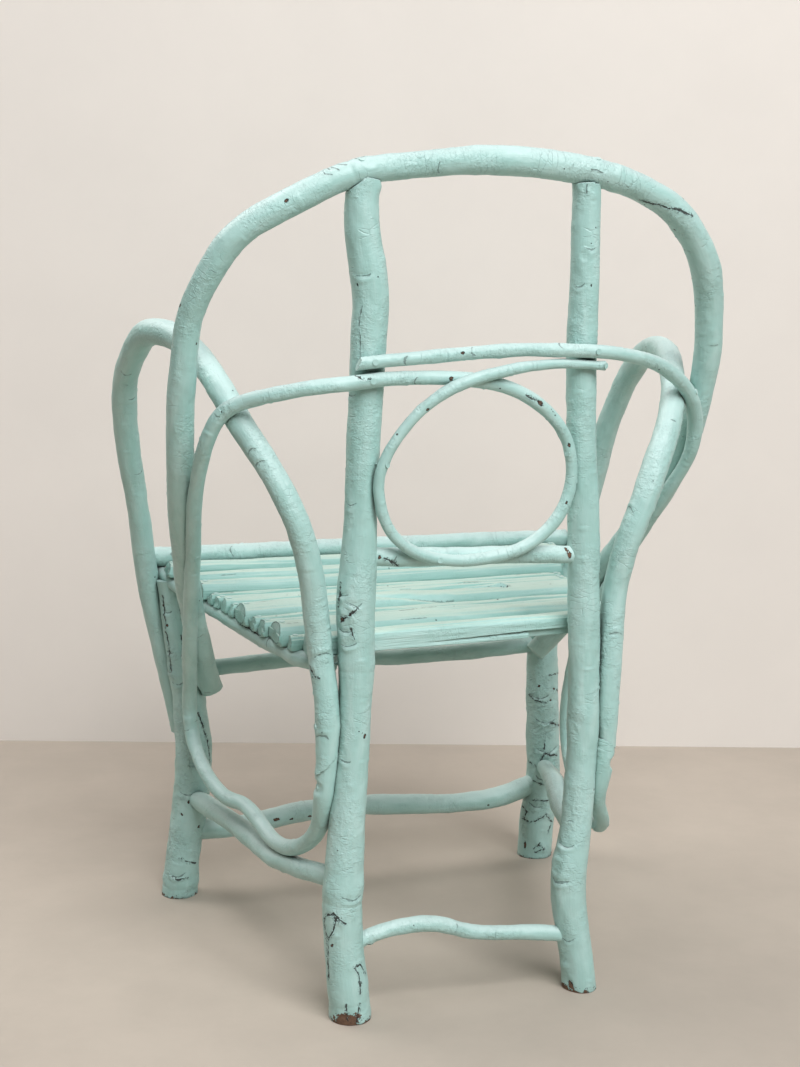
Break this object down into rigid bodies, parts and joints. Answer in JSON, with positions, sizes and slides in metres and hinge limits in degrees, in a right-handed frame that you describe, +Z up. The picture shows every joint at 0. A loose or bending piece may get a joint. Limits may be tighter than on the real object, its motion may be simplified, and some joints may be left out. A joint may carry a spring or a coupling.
{
  "type": "twig armchair",
  "caption": "Rustic bent-branch armchair: two rear posts and front legs, a bent crest hoop, arm hoops, side loops, an oval in the back and a slatted seat, all painted.",
  "frame": {"origin": "on the floor, midway across the chair and midway between its foremost and rearmost points", "axes": "+Z up; the chair faces -Y; +X is the sitter's left"},
  "size_m": [0.6734, 0.4916, 0.937],
  "materials": {
    "painted_branch": "thick satin paint over bark",
    "painted_slat": "thick satin paint over split wood",
    "painted_nail": "painted over, rusty at the edges"
  },
  "bodies": {
    "root": {"rear_post_left": "painted_branch", "rear_post_right": "painted_branch", "front_leg_left": "painted_branch", "front_leg_right": "painted_branch", "crest_hoop": "painted_branch", "arm_hoop_left": "painted_branch", "arm_hoop_right": "painted_branch", "withy_left": "painted_branch", "withy_right": "painted_branch", "bearer_left": "painted_branch", "bearer_right": "painted_branch", "brace": "painted_branch", "rear_stretcher": "painted_branch", "front_rail": "painted_branch", "front_stretcher": "painted_branch", "side_stretcher_left": "painted_branch", "side_stretcher_right": "painted_branch", "front_pole": "painted_branch", "slat_01": "painted_slat", "slat_02": "painted_slat", "slat_03": "painted_slat", "slat_04": "painted_slat", "slat_05": "painted_slat", "slat_06": "painted_slat", "slat_07": "painted_slat", "slat_08": "painted_slat", "slat_09": "painted_slat", "slat_10": "painted_slat", "slat_11": "painted_slat", "slat_12": "painted_slat", "rear_plank": "painted_slat", "nails_seat": "painted_nail", "nails_crest": "painted_nail", "nails_back": "painted_nail", "nails_arms": "painted_nail", "nails_bearers": "painted_nail", "nails_loops": "painted_nail"}
  },
  "joints": []
}
